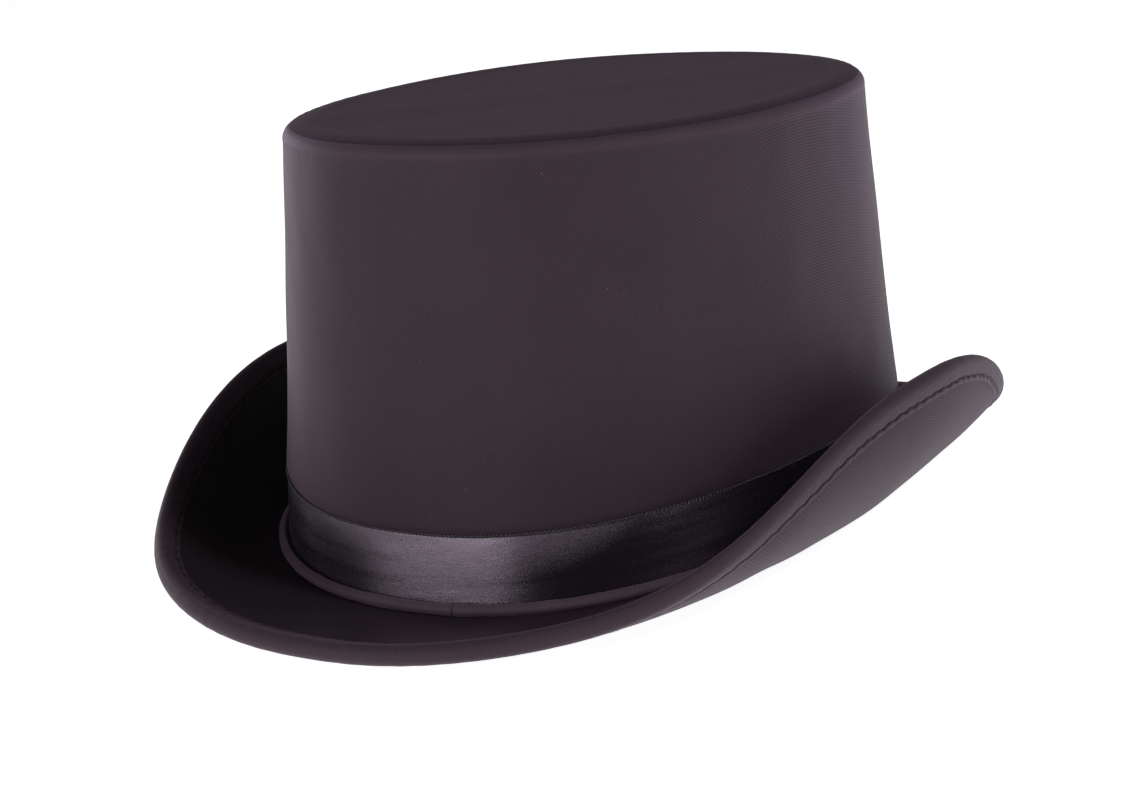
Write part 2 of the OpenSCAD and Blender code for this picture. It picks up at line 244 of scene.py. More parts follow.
def waves(a, v, count, low, high, tall, seed):
    """Smooth unevenness of cloth over foam: a sum of waves that close round the hat."""
    rng = np.random.default_rng(seed)
    total = 0.0
    for _ in range(count):
        turns = rng.integers(low, high)
        rise = rng.uniform(-tall, tall) * 2 * math.pi / WAVE_SPAN
        total = total + np.cos(np.radians(a) * turns + rise * v + rng.uniform(0, 2 * math.pi))
    return total / math.sqrt(count)


def bump(x, width):
    return np.exp(-(x / width) ** 2)


def stations(count=720, fine=(), reach=1.0):
    """Angles once round the hat, closer together near the angles in fine."""
    near = [f + np.linspace(-reach, reach, 21) for f in fine]
    return np.unique(np.round(np.concatenate([np.arange(count) * 360 / count, *near]) % 360, 5))


def along(p):
    """Length along the second axis of an array of points."""
    d = np.linalg.norm(np.diff(p, axis=1), axis=-1)
    return np.concatenate([np.zeros((len(p), 1)), np.cumsum(d, 1)], 1)


def around(p):
    """Length along the first axis, one more entry than p where it closes."""
    q = np.concatenate([p, p[:1]])
    return np.concatenate([[0], np.cumsum(np.linalg.norm(np.diff(q, axis=0), axis=-1))])


def make(name, p, faces, uv, material, wear=None):
    """An object from points in mm, faces, and a UV in cm for each corner of each face."""
    mesh = bpy.data.meshes.new(name)
    mesh.from_pydata((np.asarray(p) * 0.001).tolist(), [], faces)
    layer = mesh.uv_layers.new(name="cloth")
    layer.data.foreach_set("uv", np.asarray(uv, dtype=np.float32).ravel())
    if wear is not None:
        mesh.attributes.new("wear", "FLOAT", "POINT").data.foreach_set(
            "value", np.asarray(wear, dtype=np.float32).ravel())
    mesh.polygons.foreach_set("use_smooth", [True] * len(mesh.polygons))
    mesh.materials.append(material)
    mesh.validate()
    mesh.update()
    o = bpy.data.objects.new(name, mesh)
    bpy.context.collection.objects.link(o)
    return o


def loft(name, p, material, flat=None, close=True, wear=None):
    """Sections p[station][point], each a closed outline, joined in order.

    The first and last are joined too where close is true, and capped where it is not.
    """
    n, m = p.shape[:2]
    i = np.arange(n if close else n - 1)[:, None]
    j = np.arange(m)[None, :]
    k, l = (i + 1) % n, (j + 1) % m
    quads = np.stack([i * m + j, i * m + l, k * m + l, k * m + j], -1).reshape(-1, 4)
    if flat is None:
        s = around(p.mean(1))[:n + 1]
        ring = np.concatenate([p, p[:, :1]], 1)
        v = along(ring).mean(0)
        flat = np.stack(np.broadcast_arrays(s[:, None], v[None, :]), -1)
    i1, j1 = i + 1, j + 1
    corners = [flat[i + 0 * j, j + 0 * i], flat[i + 0 * j, j1 + 0 * i],
               flat[i1 + 0 * j, j1 + 0 * i], flat[i1 + 0 * j, j + 0 * i]]
    uv = np.stack(corners, 2).reshape(-1, 4, 2) / 10
    faces = quads.tolist()
    uv = uv.reshape(-1, 2)
    if not close:
        faces += [list(range(m))[::-1], [(n - 1) * m + q for q in range(m)]]
        extra = np.concatenate([flat[0, :m][::-1], flat[n - 1, :m]]) / 10
        uv = np.concatenate([uv, extra])
    return make(name, p.reshape(-1, 3), faces, uv, material,
                wear=None if wear is None else np.broadcast_to(wear, (n, m)))


def sheet_loft(name, outer, inner, material, flat=None, wear=None, **words):
    """A closed layer between an outer and an inner set of lines."""
    p = np.concatenate([outer, inner[:, ::-1]], 1)
    if flat is not None:
        row = np.linspace(0, outer.shape[1] - 1, inner.shape[1])[::-1]
        low, share = np.floor(row).astype(int), (row % 1)[None, :, None]
        high = np.minimum(low + 1, outer.shape[1] - 1)
        under = flat[:, low] * (1 - share) + flat[:, high] * share
        flat = np.concatenate([flat, under, flat[:, :1]], 1)
    if wear is not None:
        wear = np.concatenate([np.broadcast_to(wear, outer.shape[:2]),
                               np.zeros(inner.shape[:2])], 1)
    return loft(name, p, material, flat=flat, wear=wear, **words)


def disc(name, lines, material, wear=None):
    """Lines p[station][point] from near the middle of the top to near that of the underside."""
    n, m = lines.shape[:2]
    i, j = np.arange(n)[:, None], np.arange(m - 1)[None, :]
    k = (i + 1) % n
    quads = np.stack([i * m + j, k * m + j, k * m + j + 1, i * m + j + 1], -1).reshape(-1, 4)
    p = lines.reshape(-1, 3)
    top, under = len(p), len(p) + 1
    p = np.concatenate([p, [lines[:, 0].mean(0), lines[:, -1].mean(0)]])
    fans = [[q * m, top, (q + 1) % n * m] for q in range(n)]
    fans += [[(q + 1) % n * m + m - 1, under, q * m + m - 1] for q in range(n)]
    faces = quads.tolist() + fans
    uv = p[np.concatenate([np.ravel(f) for f in (quads, fans)])][:, :2] / 10
    if wear is not None:
        wear = np.concatenate([np.broadcast_to(wear, (n, m)).ravel(), [0, 0]])
    return make(name, p, faces, uv, material, wear=wear)


def tubes(name, paths, radius, material, sides=6, taper=0.7):
    """Short threads, one for each path of points, as one object."""
    p, faces, uv = [], [], []
    ring = np.arange(sides) * 2 * math.pi / sides
    for path in paths:
        path = np.asarray(path)
        d = unit(np.gradient(path, axis=0))
        ref = np.array([0, 0, 1.0]) if abs(d[0, 2]) < 0.9 else np.array([1.0, 0, 0])
        x = unit(np.cross(d, ref))
        y = np.cross(d, x)
        r = radius * np.where((np.arange(len(path)) % (len(path) - 1)) == 0, taper, 1.0)
        start, m = sum(len(q) for q in p), len(path)
        body = path[:, None] + r[:, None, None] * (
            np.cos(ring)[None, :, None] * x[:, None] + np.sin(ring)[None, :, None] * y[:, None])
        p.append(body.reshape(-1, 3))
        for i in range(m - 1):
            for j in range(sides):
                k = (j + 1) % sides
                faces.append([start + i * sides + j, start + i * sides + k,
                              start + (i + 1) * sides + k, start + (i + 1) * sides + j])
        faces.append([start + j for j in range(sides)][::-1])
        faces.append([start + (m - 1) * sides + j for j in range(sides)])
    p = np.concatenate(p)
    uv = np.concatenate([p[f][:, [0, 2]] for f in faces]) / 10
    return make(name, p, faces, uv, material)


def place(o, slot, *nodes):
    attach(o, "root")
    if nodes:
        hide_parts(*nodes)
    return o


# ---- Materials ----

class Nodes:
    """A short way to write a material's node tree."""

    def __init__(self, name):
        self.material = bpy.data.materials.new(name)
        self.material.use_nodes = True
        self.tree = self.material.node_tree
        self.shader = self.tree.nodes["Principled BSDF"]

    def add(self, kind, props=None, **inputs):
        node = self.tree.nodes.new("ShaderNode" + kind)
        for key, value in (props or {}).items():
            setattr(node, key, value)
        for key, value in inputs.items():
            self.put(node, int(key[1:]) if key[0] == "i" and key[1:].isdigit() else key, value)
        return node.outputs[0]

    def put(self, node, key, value):
        socket = node.inputs[key.replace("_", " ") if isinstance(key, str) else key]
        if isinstance(value, bpy.types.NodeSocket):
            self.tree.links.new(value, socket)
        else:
            socket.default_value = value

    def math(self, operation, a, b=0.0, c=0.0):
        return self.add("Math", {"operation": operation}, i0=a, i1=b, i2=c)

    def mix(self, factor, a, b):
        node = self.tree.nodes.new("ShaderNodeMix")
        node.data_type = "RGBA"
        for key, value in (("Factor", factor), (6, a), (7, b)):
            self.put(node, key, value)
        return node.outputs[2]

    def noise(self, vector, scale, detail=2.0, rough=0.5):
        node = self.tree.nodes.new("ShaderNodeTexNoise")
        for key, value in (("Vector", vector), ("Scale", scale), ("Detail", detail),
                           ("Roughness", rough)):
            self.put(node, key, value)
        return node.outputs["Fac"]

    def cloth_plane(self, turn=0.0):
        """The cloth's own plane in cm, turned by an angle."""
        uv = self.add("UVMap", {"uv_map": "cloth"})
        return self.add("Mapping", {"vector_type": "POINT"}, Vector=uv,
                        Rotation=(0, 0, math.radians(turn)))

    def ribs(self, vector, axis, pitch):
        """A wave from 0 to 1 along one axis of the plane, its pitch in mm."""
        node = self.tree.nodes.new("ShaderNodeSeparateXYZ")
        self.put(node, "Vector", vector)
        turn = self.math("MULTIPLY", node.outputs[axis], 2 * math.pi * 10 / pitch)
        return self.math("MULTIPLY_ADD", self.math("SINE", turn), 0.5, 0.5)

    def hat_space(self):
        return self.tree.nodes.new("ShaderNodeTexCoord").outputs["Object"]

    def place_noise(self, scale, detail=2.0):
        """Noise in the hat's own space, its scale per cm."""
        return self.noise(self.hat_space(), scale * 100, detail)

    def bump(self, height, strength, distance, normal=None):
        node = self.tree.nodes.new("ShaderNodeBump")
        self.put(node, "Strength", strength)
        self.put(node, "Distance", distance)
        self.put(node, "Height", height)
        if normal is not None:
            self.put(node, "Normal", normal)
        return node.outputs[0]

    def set(self, **values):
        for key, value in values.items():
            self.put(self.shader, key, value)


def tone(colour, k):
    return tuple(min(1.0, c * k) for c in colour[:3]) + (1.0,)


def twill(name, colour, turn=45.0, pitch=0.8, rough=0.5, sheen=0.2, depth=0.00012,
          wear=0.0, contrast=0.75, spec=0.1):
    """Satin twill: diagonal ribs of fine yarn, faint patches, and lighter worn edges."""
    n = Nodes(name)
    plane = n.cloth_plane(turn)
    rib = n.ribs(plane, 0, pitch)
    yarn = n.ribs(n.cloth_plane(0.0), 0, pitch * 0.52)
    weft = n.ribs(n.cloth_plane(0.0), 1, pitch * 0.47)
    fuzz = n.noise(plane, 45.0, 3.0, 0.7)
    patch = n.place_noise(0.28, 3.0)
    speck = n.place_noise(9.0, 1.0)
    height = n.math("ADD", n.math("MULTIPLY", rib, 0.62),
                    n.math("MULTIPLY", n.math("MULTIPLY", yarn, weft), 0.38))
    height = n.math("ADD", height, n.math("MULTIPLY", fuzz, 0.35))
    shade = n.math("ADD", n.math("MULTIPLY", rib, contrast),
                   n.math("MULTIPLY", n.math("SUBTRACT", patch, 0.5), 0.45))
    shade = n.math("ADD", shade, n.math("MULTIPLY", n.math("SUBTRACT", fuzz, 0.5), 0.5))
    shade = n.math("ADD", shade, 0.5 - contrast / 2)
    body = n.mix(shade, tone(colour, 0.66), tone(colour, 1.36))
    dust = n.math("GREATER_THAN", speck, 0.79)
    body = n.mix(n.math("MULTIPLY", dust, 0.3), body, tone(colour, 4.5))
    if wear:
        rubbed = n.add("Attribute", {"attribute_name": "wear"}).node.outputs["Fac"]
        rubbed = n.math("MULTIPLY", rubbed, n.math("MULTIPLY_ADD", patch, wear, wear * 0.5))
        body = n.mix(rubbed, body, tone(colour, 2.2))
    n.set(Base_Color=body, Sheen_Weight=sheen, Sheen_Roughness=0.45,
          Sheen_Tint=(0.95, 0.66, 1.0, 1.0), Specular_IOR_Level=spec,
          Specular_Tint=(1.0, 0.8, 1.0, 1.0),
          Roughness=n.math("MULTIPLY_ADD", n.math("SUBTRACT", fuzz, 0.5), 0.16, rough),
          Normal=n.bump(height, 0.55, depth))
    return n.material


def satin(name, colour, rough=0.34):
    """Ribbon satin: long threads along the ribbon, which draw highlights across it."""
    n = Nodes(name)
    uv = n.add("UVMap", {"uv_map": "cloth"})
    stretched = n.add("Mapping", Vector=uv, Scale=(0.35, 9.0, 1.0))
    thread = n.noise(stretched, 3.4, 4.0, 0.6)
    streak = n.noise(n.add("Mapping", Vector=uv, Scale=(0.06, 1.5, 1.0)), 2.0, 2.0, 0.5)
    weft = n.ribs(uv, 0, 0.45)
    warp = n.ribs(uv, 1, 0.3)
    fuzz = n.noise(uv, 20.0, 2.0, 0.6)
    height = n.math("ADD", n.math("MULTIPLY", thread, 0.8), n.math("MULTIPLY", weft, 0.12))
    height = n.math("ADD", height, n.math("MULTIPLY", warp, 0.12))
    height = n.math("ADD", height, n.math("MULTIPLY", fuzz, 0.7))
    shade = n.math("MULTIPLY_ADD", n.math("SUBTRACT", thread, 0.5), 0.9, 0.5)
    shade = n.math("ADD", shade, n.math("MULTIPLY", n.math("SUBTRACT", streak, 0.5), 0.6))
    n.set(Base_Color=n.mix(shade, tone(colour, 0.6), tone(colour, 1.5)),
          Roughness=n.math("ADD", n.math("MULTIPLY", n.math("SUBTRACT", fuzz, 0.5), 0.25),
                           n.math("MULTIPLY_ADD", n.math("SUBTRACT", streak, 0.5), 0.18, rough)),
          IOR=2.05, Specular_Tint=(1.0, 0.8, 1.0, 1.0), Sheen_Weight=0.1, Sheen_Roughness=0.3,
          Sheen_Tint=(0.9, 0.88, 1.0, 1.0), Anisotropic=0.8, Anisotropic_Rotation=0.25,
          Tangent=n.add("Tangent", {"direction_type": "UV_MAP", "uv_map": "cloth"}),
          Normal=n.bump(height, 0.5, 0.00008))
    return n.material


def plain_weave(name, colour, pitch=0.5, rough=0.6, sheen=0.2, depth=0.00005, spec=0.4):
    """Lining and tape: an even weave with faint slubs."""
    n = Nodes(name)
    plane = n.cloth_plane(0.0)
    over = n.math("MULTIPLY", n.ribs(plane, 0, pitch), n.ribs(plane, 1, pitch))
    slub = n.noise(n.add("Mapping", Vector=plane, Scale=(0.2, 5.0, 1.0)), 4.0, 2.0, 0.5)
    patch = n.place_noise(0.4, 2.0)
    shade = n.math("ADD", n.math("MULTIPLY", over, 0.4), n.math("MULTIPLY", slub, 0.4))
    shade = n.math("ADD", shade, n.math("MULTIPLY", n.math("SUBTRACT", patch, 0.5), 0.5))
    n.set(Base_Color=n.mix(shade, tone(colour, 0.7), tone(colour, 1.4)), Sheen_Weight=sheen,
          Sheen_Roughness=0.4, Specular_IOR_Level=spec,
          Roughness=n.math("MULTIPLY_ADD", n.math("SUBTRACT", slub, 0.5), 0.2, rough),
          Normal=n.bump(n.math("ADD", over, n.math("MULTIPLY", slub, 0.5)), 0.5, depth))
    return n.material


def grained(name, colour, scale, rough, depth, metallic=0.0):
    """Boards, foam, wire and the sweatband's coated cloth."""
    n = Nodes(name)
    cells = n.add("TexVoronoi", {"feature": "F1"}, Scale=scale * 100, Vector=n.hat_space())
    patch = n.place_noise(0.5, 4.0)
    shade = n.math("ADD", n.math("MULTIPLY", cells, 0.6), n.math("MULTIPLY", patch, 0.5))
    n.set(Base_Color=n.mix(shade, tone(colour, 0.7), tone(colour, 1.3)), Metallic=metallic,
          Roughness=n.math("MULTIPLY_ADD", n.math("SUBTRACT", patch, 0.5), 0.2, rough),
          Normal=n.bump(n.math("ADD", cells, patch), 0.5, depth))
    return n.material


# The crown's side carries the cloth's own colour. The other twill pieces below are lighter or
# darker copies of it: painted light and painted shade.
CLOTH = (0.0315, 0.0218, 0.0275)
WALL_CLOTH = twill("wall_twill", tone(CLOTH, 1.12), turn=-90, pitch=0.88, wear=0.3, spec=0.06,
                   sheen=0.2)
# Tip: a darker copy of the crown's cloth, painted shade.
TIP_CLOTH_PAINTED_SHADE = twill("tip_twill_painted_shade", tone(CLOTH, 0.85), turn=38, pitch=0.8, wear=0.4, sheen=0.06,
                  spec=0.02)
# Brim's top: a much darker copy of the cloth, painted shade.
BRIM_CLOTH_PAINTED_SHADE = twill("brim_twill_painted_shade", tone(CLOTH, 0.4), turn=30, pitch=0.8, sheen=0.03, spec=0.1)
# Brim's underside: a darker copy of the cloth, painted shade.
UNDER_CLOTH_PAINTED_SHADE = twill("underside_twill_painted_shade", tone(CLOTH, 0.60), turn=-15, pitch=0.82, contrast=1.0,
                    spec=0.05, sheen=0.1)
# Binding: a slightly darker copy of the cloth, painted shade.
BIAS_CLOTH_PAINTED_SHADE = twill("binding_twill_painted_shade", tone(CLOTH, 0.91), turn=14, contrast=0.55, spec=0.06,
                   pitch=0.85, wear=0.4, sheen=0.12)
# Collar: a much lighter copy of the cloth, painted light.
COLLAR_CLOTH_PAINTED_LIGHT = twill("collar_twill_painted_light", tone(CLOTH, 1.9), turn=12, pitch=0.7, wear=0.4)
RIBBON = satin("ribbon_satin", (0.011, 0.0085, 0.0125), 0.28)
# Picot loops: thread much lighter than the ribbon's satin, a painted highlight.
PICOT_PAINTED_HIGHLIGHT = plain_weave("picot_thread_painted_highlight", (0.06, 0.05, 0.062), 0.3, 0.5, 0.1, spec=0.5)
LINING = plain_weave("lining_cloth", (0.016, 0.013, 0.018), 0.45, 0.42, 0.3, spec=0.6)
TAPE = plain_weave("tape_cloth", (0.02, 0.017, 0.02), 0.7)
LABEL = plain_weave("label_cloth", (0.17, 0.15, 0.175), 0.4, 0.5, 0.2)
THREAD = plain_weave("sewing_thread", (0.012, 0.009, 0.011), 0.25, 0.5, 0.3)
BAND = grained("sweatband_coated", (0.018, 0.015, 0.017), 9.0, 0.45, 0.00008)
FOAM = grained("foam", (0.6, 0.57, 0.48), 14.0, 0.9, 0.0001)
BOARD = grained("board", (0.36, 0.28, 0.18), 6.0, 0.85, 0.00006)
STEEL = grained("steel_wire", (0.45, 0.46, 0.48), 30.0, 0.35, 0.00001, 1.0)
CORD = plain_weave("filler_cord", (0.5, 0.46, 0.38), 1.2, 0.9, 0.3, 0.0002)

# ---- Crown ----

BACK = 180.0
TWILL_SLOPE = ([0, 25, 60, 95, 120, 180, 181, 330, 360],      # angle round the hat
               [38, 34, 18, -8, -14, -14, 38, 38, 38])        # slope of the twill's lines
A = stations(720, (BACK, JOIN_ANGLE))[:, None]
ARC = around(wall(A, 0, BRIM_T + CROWN_H / 2)[:, 0])[:, None]


def back_seam(a, width, depth):
    """A sewn join up the back: a groove with a low swell on both sides."""
    s = np.radians(a - BACK) * HALF_W
    return depth * (-bump(s, width) + 0.35 * (bump(s - 3 * width, 1.6 * width)
                                              + bump(s + 3 * width, 1.6 * width)))


def crown_cover():
    share = np.concatenate([np.linspace(0, 0.14, 20)[:-1], np.linspace(0.14, 0.3, 26)[:-1],
                            np.linspace(0.3, 1, 64)])[None, :]
    foot = TOP_Z - SHOULDER_H
    z = base_z(A) + (foot - base_z(A)) * share
    above = z - (base_z(A) + RIBBON_LOW + RIBBON_W)
    lift = np.maximum(above - 0.35, 0)
    swell = (1 - np.exp(-lift / 0.8)) * np.exp(-lift / 15)
    free = np.clip(above / 12, 0, 1)
    uneven = 0.09 * waves(A, z, 14, 2, 15, 3.0, 3) + 0.05 * waves(A, z, 18, 12, 34, 5.0, 4)
    near_top = np.exp(-(foot + 4 - z) / 6)
    pucker = 0.02 * near_top * waves(A, z, 6, 60, 110, 1.0, 5)
    out = 1.05 * swell + free * uneven + pucker + free * back_seam(A, 0.5, 0.35)
    upright = wall(A, -out, z)
    t = np.concatenate([np.linspace(0, 0.8, 9)[1:], np.linspace(0.8, 1, 10)[1:]])[None, :]
    seam = 0.28 * bump((1 - t) * 4.0, 0.4)
    puff = 0.25 * np.sin(np.pi * t) + (pucker + uneven)[:, -1:] * (1 - t)
    top = wall(A, SEAM_INSET * t * t + seam - puff - back_seam(A, 0.5, 0.35) * (1 - t),
               TOP_Z - SHOULDER_H + (SHOULDER_H - SEAM_DROP) * t - 0.15 * seam)
    outer = np.concatenate([upright, top], 1)
    inner = np.concatenate([
        wall(A, COVER_T, base_z(A) + (foot - base_z(A)) * np.linspace(0, 1, 12)[None, :]),
        shoulder(A, np.linspace(0, 1, 7)[None, 1:], COVER_T + 0.25)], 1)
    drop = np.concatenate([[0], np.cumsum(np.diff(ARC[:, 0]) * np.tan(np.radians(np.interp(
        np.append(A, 360)[1:], *TWILL_SLOPE))))])[:, None]
    flat = np.stack(np.broadcast_arrays(ARC, along(outer).mean(0)[None, :] - drop), -1)
    wear = np.concatenate([0 * z[:1], np.sin(np.pi * np.clip(t, 0, 1))], 1)
    o = sheet_loft("crown_cover", outer, inner, WALL_CLOTH, flat, wear)
    place(o, "satin_twill", "crown_side_cover")


def tip():
    t = np.concatenate([np.linspace(0, 0.12, 9)[:-1], np.linspace(0.12, 1, 22)])[None, :]
    seam = 0.28 * bump(t * 9.0, 0.4)
    puff = 0.25 * np.sin(np.pi * t ** 0.7)
    rim_line = rim(A, t, seam, puff + 0.15 * seam)
    shrink = np.linspace(1, 0.02, 46)[None, 1:, None]
    ring = rim(A, level(1))
    flat = ring * np.concatenate([np.tile(shrink, (1, 1, 2)), np.ones_like(shrink)], -1)
    lines = np.concatenate([rim_line, flat], 1)
    x, y = lines[..., 0], lines[..., 1]
    calm = np.clip(np.concatenate([t * 0.9, 0.9 + 0 * shrink[..., 0]], 1), 0, 1)
    lines[..., 2] += calm * (0.12 * np.cos(x / 13 + 0.6) * np.cos(y / 17 - 0.4)
                             + 0.08 * np.cos(x / 7.5 - y / 11 + 1.0)
                             - 0.35 * (1 - (x / HALF_W) ** 2 - (y / HALF_L) ** 2))
    spokes = np.exp(-t * 9.0 / 3.0) * (t > 0)
    lines[:, :t.shape[1], 2] += 0.05 * spokes * waves(A, 0 * t, 6, 60, 110, 1.0, 6)
    under = rim(A, np.linspace(0, 1, 8)[None, :], COVER_T)
    middle = under[:, -1:] * np.array([0.02, 0.02, 1])
    wear = np.concatenate([np.sin(np.pi * t ** 0.6), 0 * shrink[..., 0], np.zeros((1, 9))], 1)
    o = disc("tip_cover_cloth", np.concatenate([lines[:, ::-1], under, middle], 1), TIP_CLOTH_PAINTED_SHADE,
             wear[:, np.r_[lines.shape[1] - 1:-1:-1, lines.shape[1]:wear.shape[1]]])
    place(o, "satin_twill", "tip_cover")
    lines = np.concatenate([rim(A, np.array([[1, 0.6, 0.25, 0]]), COVER_T + 0.05),
                            wall(A, COVER_T + SEAM_INSET + 0.3, level(DECK_Z))], 1)
    pad = disc("tip_foam_pad", lines, FOAM)
    place(pad, "foam", "tip_foam")
    board = disc("tip_stiffener", np.concatenate(
        [wall(A, WALL_T, level(z)) for z in (DECK_Z, DECK_Z - BOARD_T)], 1), BOARD)
    place(board, "stiff_board", "tip_board")


def ring_of(depth, z, r, sides=12):
    f = np.arange(sides)[None, :] * 360 / sides
    return wall(A, depth - r * cos(f), z + r * sin(f))


def crown_frame():
    up = np.linspace(0, 1, 14)[None, :]
    foot = TOP_Z - SHOULDER_H - 0.5
    z = base_z(A) + (foot - base_z(A)) * up
    zb = base_z(A) + (DECK_Z - base_z(A)) * up
    foam = sheet_loft("crown_foam", wall(A, COVER_T, z), wall(A, COVER_T + FOAM_T, zb), FOAM)
    place(foam, "foam", "crown_side_foam")
    board = sheet_loft("crown_stiffener", wall(A, COVER_T + FOAM_T, zb), wall(A, WALL_T, zb),
                       BOARD)
    place(board, "stiff_board", "crown_side_board")
    wire = loft("tip_wire_ring", ring_of(WALL_T + WIRE_R, DECK_Z - BOARD_T - WIRE_R, WIRE_R),
                STEEL)
    place(wire, "wire", "tip_wire")


# ---- Brim ----

UNEVEN = 0.12         # how far the brim's two covers stray from their smooth faces


def brim_plane(p, a):
    """Where each point of a brim line lay on the flat cloth."""
    s = along(p)
    start = p[:, :1, :2]
    flat = start + s[..., None] * out_dir(a)[..., :2]
    return np.concatenate([flat, flat[:1]])


def brim_face(depth, rows, uneven, seed):
    """Lines over the brim at a depth, from inside the opening out to the edge.

    uneven lowers or raises the face by slow waves that fade out at both of its edges.
    """
    u = np.linspace(0, 1, rows)[None, :] ** 1.05
    free = np.clip(u * 6, 0, 1) * np.clip((1 - u) * 4, 0, 1)
    wavy = uneven * waves(A, 60 * u, 16, 3, 26, 4.0, seed) * free if uneven else 0 * u
    land = opening(A, level(WALL_T), level(-depth))
    return np.concatenate([land, brim_pt(A, u, depth + wavy)], 1)


def brim_layer(name, top, thick, material, rows=56, lift=0.0, dip=0.0, seed=0):
    upper = brim_face(top, rows, -lift, seed)
    lower = brim_face(top + thick, 30, dip, seed + 1)
    return sheet_loft(name, upper, lower, material, brim_plane(upper, A))


def flat_ring(depth):
    """Width, length and area in metres of the flat ring that covers the brim at a depth.

    The ring is as wide as the brim measures along its curl, and starts at the opening.
    """
    per_degree = 2
    angles = np.arange(360 * per_degree)[:, None] / per_degree
    lines = brim_pt(angles, np.linspace(0, 1, 120)[None, :], depth)
    run = np.linalg.norm(np.diff(lines, axis=1), axis=2).sum(1)
    foot = lines[:, 0, :2]
    girth = np.linalg.norm(np.roll(foot, -1, 0) - foot, axis=1)
    area = (run * girth).sum() + math.pi * (run ** 2).mean()
    width, length = np.ptp(foot, axis=0) + 2 * run[[90 * per_degree, 0]]
    return round(width / 1000, 3), round(length / 1000, 3), round(area / 1e6, 4)


def brim():
    foam_d = COVER_T + BRIM_FOAM_T
    o = brim_layer("brim_cloth", 0.0, COVER_T, BRIM_CLOTH_PAINTED_SHADE, lift=UNEVEN, seed=21)
    place(o, "satin_twill", "brim_top_cover")
    width, length, area = flat_ring(0.0)
    o = brim_layer("brim_foam_layer", COVER_T + 0.1, BRIM_FOAM_T - 0.1, FOAM, rows=30)
    place(o, "foam", "brim_foam")
    o = brim_layer("brim_stiffener", foam_d, BRIM_T - COVER_T - foam_d, BOARD, rows=30)
    place(o, "stiff_board", "brim_board")
    o = brim_layer("underside_cloth", BRIM_T - COVER_T, COVER_T, UNDER_CLOTH_PAINTED_SHADE, rows=30,
                   lift=UNEVEN, dip=UNEVEN, seed=31)
    place(o, "satin_twill", "brim_under_cover")
    width, length, area = flat_ring(BRIM_T)


STITCH = 5.6          # length of one stitch of the binding
GROOVE = 1.5          # distance of the stitch row from the binding's inner edge
BIND_JOIN = 37.0      # where the binding's two ends meet


def binding():
    a = stations(2160, (BIND_JOIN,), 2.0)[:, None]
    length = around(edge_pt(a)[:, 0])
    s = length[:-1, None]
    count = round(length[-1] / STITCH)
    pull = np.abs(np.cos(math.pi * s / length[-1] * count
                          + 0.35 * waves(a, 0 * a, 6, 9, 60, 1.0, 46))) ** 4
    ub = bind_u(a)
    d = np.concatenate([np.linspace(0, 2.6, 18)[:-1], np.linspace(2.6, BIND_W, 8)])[None, :]
    waver = 0.16 * waves(a, 0 * a, 10, 30, 90, 1.0, 44)

    def height(groove, deep):
        x = d - groove - waver - 0.5 * (0.5 - pull)
        margin = BIND_T * np.clip(1 - (1 - d / 0.45) ** 2, 0, 1) ** 0.5
        margin = np.where(d < 0.45, margin, BIND_T)
        margin = margin * (0.95 + 0.3 * (1 - pull) * bump(d - groove / 2, 0.6))
        rest = np.clip((d - groove) / (BIND_W - groove), 0, 1)
        full = BIND_T + 0.32 * np.sin(np.pi / 2 * rest) ** 0.8
        ridge = np.where(x > 0, full, margin)
        cut = (0.7 + 0.3 * pull) * deep * bump(x, 0.26)
        join = (s - np.interp(BIND_JOIN, a[:, 0], s[:, 0])) - 0.9 * (d - 2)
        return ridge - cut - 0.3 * bump(join, 0.32) + 0.02 * waves(a, 9 * d, 12, 40, 160, 9, 45)

    u = ub + (1 - ub) * d / BIND_W
    top_h, low_h = height(GROOVE, 0.55), height(GROOVE + 0.15, 0.75)
    f = np.linspace(90, -90, 17)[None, 1:-1]
    upper_share = (f + 90) / 180
    r = BRIM_T / 2 + top_h[:, -1:] * upper_share + low_h[:, -1:] * (1 - upper_share)
    outer = np.concatenate([
        brim_pt(a, u, -top_h), nose(a, r, f), brim_pt(a, u, BRIM_T + low_h)[:, ::-1]], 1)
    f = np.linspace(90, -90, 7)[None, :]
    inner = np.concatenate([brim_pt(a, ub, 0 * a), nose(a, BRIM_T / 2 - 0.02, f),
                            brim_pt(a, ub, BRIM_T + 0 * a)], 1)
    m = outer.shape[1]
    wear = np.sin(np.linspace(0, math.pi, m)) ** 6
    v = along(outer).mean(0)
    flat = np.stack(np.broadcast_arrays(length[:, None], v[None, :]), -1)
    o = sheet_loft("edge_binding", outer, inner, BIAS_CLOTH_PAINTED_SHADE, flat, wear[None, :])
    place(o, "satin_twill", "brim_binding")

    middles = (np.arange(count) + 0.5) * length[-1] / count
    at = np.interp(middles, length, np.append(a[:, 0], 360.0))
    k = np.linspace(-0.34, 0.34, 5)[None, :]
    b = at[:, None] + k * STITCH * 360 / length[-1]
    wave = np.interp(b, a[:, 0], waver[:, 0])
    sink = 0.02 - 0.3 * (k / 0.34) ** 4 + 0 * b
    inner_u = bind_u(b)
    share = (GROOVE + wave) / BIND_W
    above = brim_pt(b, inner_u + (1 - inner_u) * share, -sink)
    share = (GROOVE + 0.15 + wave) / BIND_W
    below = brim_pt(b, inner_u + (1 - inner_u) * share, BRIM_T + sink)
    paths = [*above, *below]
    o = tubes("binding_thread", paths, 0.13, THREAD, 5)
    place(o, "thread", "binding_stitches")
    one = np.ones_like(A)
    f = np.arange(10)[None, :] * 36
    centre = nose(A, WIRE_R + CLEAR, 0 * one)
    ring = centre + WIRE_R * (cos(f)[..., None] * slope_dir(A, one)
                              + sin(f)[..., None] * up_dir(A, one))
    place(loft("edge_wire_ring", ring, STEEL), "wire", "brim_edge_wire")


# ---- Collar and ribbon ----

